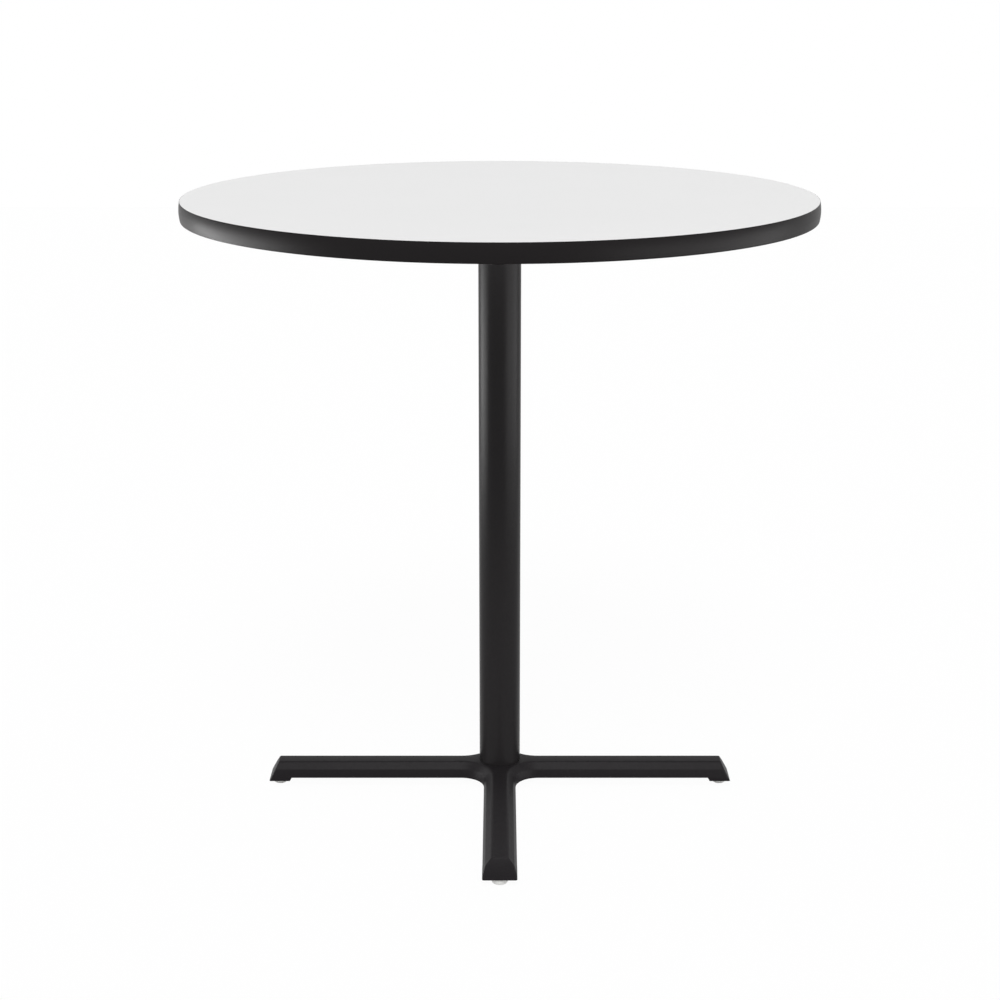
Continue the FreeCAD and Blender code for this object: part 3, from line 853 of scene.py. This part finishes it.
class TABLE_OT_glides(bpy.types.Operator):
    """Make the nylon feet and the threaded studs of the levelling glides"""

    bl_idname = "bar_table.glides"
    bl_label = "Levelling Glides"

    top_round: FloatProperty(
        name="Top Round", description="Rounding of the foot's upper rim", subtype="DISTANCE",
        unit="LENGTH", default=0.8 * MM)
    stud_chamfer: FloatProperty(
        name="Stud Chamfer", description="Chamfer of the stud's ends", subtype="DISTANCE", unit="LENGTH",
        default=0.7 * MM)

    def foot_outline(self, settings, side):
        """A foot's outline: flat rest, rounded corner, upper rim, and the hollow for the stud's flange."""
        low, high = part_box("glide_foot_" + side)
        stud_low, stud_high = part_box("glide_stud_" + side)
        radius = (high.x - low.x) / 2
        outline = [(0, low.z)]
        for step in range(settings.corner_steps + 1):
            turn = FULL_TURN / 4 * step / settings.corner_steps
            outline.append((settings.rest_radius + (radius - settings.rest_radius) * math.sin(turn),
                            low.z + settings.corner_height * (1 - math.cos(turn))))
        neck = settings.stud_radius + settings.play
        room = (stud_high.x - stud_low.x) / 2 + settings.play
        flange_top = stud_low.z + settings.flange_height + settings.play
        outline += rounded([(radius, low.z + settings.corner_height), (radius, high.z), (neck, high.z)],
                           [0, self.top_round, 0])[1:]
        outline += [(neck, flange_top), (room, flange_top), (room, stud_low.z - settings.play),
                    (0, stud_low.z - settings.play)]
        return outline

    def stud_mesh(self, settings, side):
        """A stud in one shell: the flange inside the foot, and the threaded shaft on it."""
        low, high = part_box("glide_stud_" + side)
        centre = glide_centre(side)
        flange = (high.x - low.x) / 2
        flange_top = low.z + settings.flange_height
        bm = bmesh.new()
        lower_rim = round_ring(bm, flange, low.z, centre)
        upper_rim = round_ring(bm, flange, flange_top, centre)
        shaft = threaded_rings(bm, settings.stud_radius, STUD_PITCH, flange_top, high.z,
                               self.stud_chamfer, centre)
        cap(bm, lower_rim)
        join(bm, lower_rim, upper_rim)
        join(bm, upper_rim, shaft[0])
        cap(bm, shaft[-1])
        return bm

    def execute(self, context):
        settings = context.scene.bar_table_glides
        nylon = nylon_finish(settings)
        zinc = bpy.data.materials.get("zinc_steel") or zinc_finish()
        for side in SIDES:
            bm = bmesh.new()
            turned_rings(bm, self.foot_outline(settings, side), FOOT_SEGMENTS, glide_centre(side))
            finished_piece("nylon_foot_" + side, bm, side + "_glide_foot", nylon,
                           ["glide_foot_" + side])
            finished_piece("threaded_stud_" + side, self.stud_mesh(settings, side), side + "_glide_stud",
                           zinc, ["glide_stud_" + side])
        return {"FINISHED"}


class TABLE_OT_stage(bpy.types.Operator):
    """Make the pale floor, the white surroundings, the lights and the camera"""

    bl_idname = "bar_table.stage"
    bl_label = "Studio and Camera"

    side_distance: FloatProperty(
        name="Side Distance", description="Distance of the side boxes", subtype="DISTANCE",
        unit="LENGTH", default=2.0)
    side_bottom: FloatProperty(
        name="Side Bottom", description="Lower edge of the side boxes", subtype="DISTANCE",
        unit="LENGTH", default=0.15)
    left_top: FloatProperty(
        name="Left Top", description="Upper edge of the left box", subtype="DISTANCE", unit="LENGTH",
        default=0.87)
    right_top: FloatProperty(
        name="Right Top", description="Upper edge of the right box", subtype="DISTANCE", unit="LENGTH",
        default=1.0)
    left_width: FloatProperty(
        name="Left Width", description="Width of the left box", subtype="DISTANCE", unit="LENGTH",
        default=1.8)
    right_width: FloatProperty(
        name="Right Width", description="Width of the right box", subtype="DISTANCE", unit="LENGTH",
        default=2.8)
    left_turn: FloatProperty(
        name="Left Turn", description="Angle of the left box from the front", subtype="ANGLE",
        unit="ROTATION", default=math.radians(-95))
    right_turn: FloatProperty(
        name="Right Turn", description="Angle of the right box from the front", subtype="ANGLE",
        unit="ROTATION", default=math.radians(70))
    card_height: FloatProperty(
        name="Card Height", description="Height of the card under the top", subtype="DISTANCE",
        unit="LENGTH", default=1.02)
    card_width: FloatProperty(
        name="Card Width", description="Width of the card under the top", subtype="DISTANCE",
        unit="LENGTH", default=0.95)
    card_depth: FloatProperty(
        name="Card Depth", description="Depth of the card under the top", subtype="DISTANCE",
        unit="LENGTH", default=0.55)

    def floor(self, settings):
        half = settings.floor_size / 2
        corners = [(-half, -half, 0), (half, -half, 0), (half, half, 0), (-half, half, 0)]
        mesh = bpy.data.meshes.new("floor")
        mesh.from_pydata(corners, [], [(0, 1, 2, 3)])
        plane = bpy.data.objects.new("floor", mesh)
        bpy.context.scene.collection.objects.link(plane)
        mesh.materials.append(self.floor_finish(settings))

    def floor_finish(self, settings):
        """Pale matt floor that is nearly clear in the picture and nearly white in reflections.

        The white surroundings show through it, a faint shadow stays on it, and a glide that is screwed
        out below it stays in view. From below it is clear.
        """
        finish = new_finish("pale_floor")
        speckle = finish.noise(FLOOR_SPECKLE, detail=2.0)
        matt = finish.add("ShaderNodeBsdfDiffuse", None,
                          {"Color": finish.mix(speckle, FLOOR_GREY, FLOOR_PALE)})
        white = finish.add("ShaderNodeEmission", None, {"Color": WHITE, "Strength": 1.0})
        clear = finish.add("ShaderNodeBsdfTransparent")
        mirrored = self.seen_in_reflections(finish) * settings.floor_glow
        below = finish.add("ShaderNodeNewGeometry", output="Backfacing")
        clearness = settings.floor_glow + (1 - settings.floor_glow) * below
        see_through = self.seen_by_camera(finish) * clearness
        lit = finish.add("ShaderNodeMixShader", None, {0: mirrored, 1: matt, 2: white})
        surface = finish.add("ShaderNodeMixShader", None, {0: see_through, 1: lit, 2: clear})
        finish.add("ShaderNodeOutputMaterial", None, {"Surface": surface})
        return finish.owner

    def seen_by_camera(self, finish):
        """1 where the camera looks, and 0 for reflections and soft light."""
        return finish.add("ShaderNodeLightPath", output="Is Camera Ray")

    def seen_in_reflections(self, finish):
        """1 where a reflection or a see-through material looks, and 0 for soft light."""
        glossy = finish.add("ShaderNodeLightPath", output="Is Glossy Ray")
        through = finish.add("ShaderNodeLightPath", output="Is Transmission Ray")
        return glossy + through

    def surroundings(self, settings):
        """White all round, with a lower level for the soft light that the lamps add to."""
        world = bpy.data.worlds.new("white_surroundings")
        bpy.context.scene.world = world
        finish = Finish(world)
        seen = self.seen_by_camera(finish) + self.seen_in_reflections(finish)
        level = settings.fill_light + (1 - settings.fill_light) * seen
        background = finish.add("ShaderNodeBackground", None, {"Color": WHITE, "Strength": level})
        finish.add("ShaderNodeOutputWorld", None, {"Surface": background})

    def hang(self, light, place, direction, lights_matt):
        """Hangs a light, unseen by the camera. With lights_matt off it shows in reflections only."""
        lamp = bpy.data.objects.new(light.name, light)
        lamp.location = place
        lamp.rotation_mode = "QUATERNION"
        lamp.rotation_quaternion = Vector(direction).to_track_quat("-Z", "Y")
        lamp.visible_camera = False
        lamp.visible_diffuse = lights_matt
        bpy.context.scene.collection.objects.link(lamp)

    def side_box(self, name, turn, width, top, power):
        """A soft box beside the table, lower than its top, that shows as a highlight in the satin black."""
        light = bpy.data.lights.new(name, "AREA")
        light.shape = "RECTANGLE"
        light.size = width
        light.size_y = top - self.side_bottom
        light.energy = power
        outward = Vector((math.sin(turn), -math.cos(turn), 0))
        middle = Vector((0, 0, (top + self.side_bottom) / 2))
        self.hang(light, outward * self.side_distance + middle, -outward, lights_matt=False)

    def under_card(self, settings):
        """An oval glowing card under the top's front half, which the ridges of the side arms reflect."""
        light = bpy.data.lights.new("under_card", "AREA")
        light.shape = "ELLIPSE"
        light.size = self.card_width
        light.size_y = self.card_depth
        light.energy = settings.card_power
        place = (0, (self.card_depth - self.card_width) / 2, self.card_height)
        self.hang(light, place, (0, 0, -1), lights_matt=False)

    def key_light(self, settings):
        """A broad far light, high in front of the table. It shines the same wherever it hangs."""
        light = bpy.data.lights.new("key_light", "SUN")
        light.energy = settings.key_strength
        light.angle = settings.key_width
        direction = (0, math.cos(settings.key_height), -math.sin(settings.key_height))
        self.hang(light, KEY_PLACE, direction, lights_matt=True)

    def lights(self, settings):
        self.side_box("soft_box_left", self.left_turn, self.left_width, self.left_top,
                      settings.left_power)
        self.side_box("soft_box_right", self.right_turn, self.right_width, self.right_top,
                      settings.right_power)
        self.under_card(settings)
        self.key_light(settings)

    def camera(self, settings):
        data = bpy.data.cameras.new("photo_camera")
        data.sensor_width = SENSOR_WIDTH
        data.lens = settings.camera_lens
        data.shift_x = settings.camera_shift
        camera = bpy.data.objects.new("photo_camera", data)
        camera.location = (0, -settings.camera_distance, settings.camera_height)
        camera.rotation_euler = (FULL_TURN / 4 - settings.camera_pitch, 0, 0)
        bpy.context.scene.collection.objects.link(camera)
        bpy.context.scene.camera = camera

    def execute(self, context):
        settings = context.scene.bar_table_stage
        self.floor(settings)
        self.surroundings(settings)
        self.lights(settings)
        self.camera(settings)
        context.scene.view_settings.view_transform = "Standard"
        return {"FINISHED"}


class TABLE_PT_panel(bpy.types.Panel):
    """Lists the table's pieces and their settings in the sidebar"""

    bl_idname = "TABLE_PT_panel"
    bl_label = "Bar Table"
    bl_space_type = "VIEW_3D"
    bl_region_type = "UI"
    bl_category = "Bar Table"

    def draw(self, context):
        scene = context.scene
        for operator in OPERATORS:
            self.layout.operator(operator.bl_idname)
        for settings in (scene.bar_table_top, scene.bar_table_frame, scene.bar_table_glides,
                         scene.bar_table_stage):
            box = self.layout.box()
            for name in settings.__annotations__:
                box.prop(settings, name)


SETTINGS = {
    "bar_table_top": TopSettings,
    "bar_table_frame": FrameSettings,
    "bar_table_glides": GlideSettings,
    "bar_table_stage": StageSettings,
}
OPERATORS = (TABLE_OT_laminate, TABLE_OT_moulding, TABLE_OT_panel, TABLE_OT_castings, TABLE_OT_column,
             TABLE_OT_hardware, TABLE_OT_glides, TABLE_OT_stage)


def register():
    for group in SETTINGS.values():
        bpy.utils.register_class(group)
    for operator in OPERATORS:
        bpy.utils.register_class(operator)
    bpy.utils.register_class(TABLE_PT_panel)
    for name, group in SETTINGS.items():
        setattr(bpy.types.Scene, name, PointerProperty(type=group))


def unregister():
    for name in SETTINGS:
        delattr(bpy.types.Scene, name)
    bpy.utils.unregister_class(TABLE_PT_panel)
    for operator in reversed(OPERATORS):
        bpy.utils.unregister_class(operator)
    for group in reversed(list(SETTINGS.values())):
        bpy.utils.unregister_class(group)


def main():
    register()
    bpy.ops.bar_table.laminate()
    bpy.ops.bar_table.moulding()
    bpy.ops.bar_table.panel()
    bpy.ops.bar_table.castings()
    bpy.ops.bar_table.column()
    bpy.ops.bar_table.hardware()
    bpy.ops.bar_table.glides()
    bpy.ops.bar_table.stage()


if __name__ == "__main__":
    main()
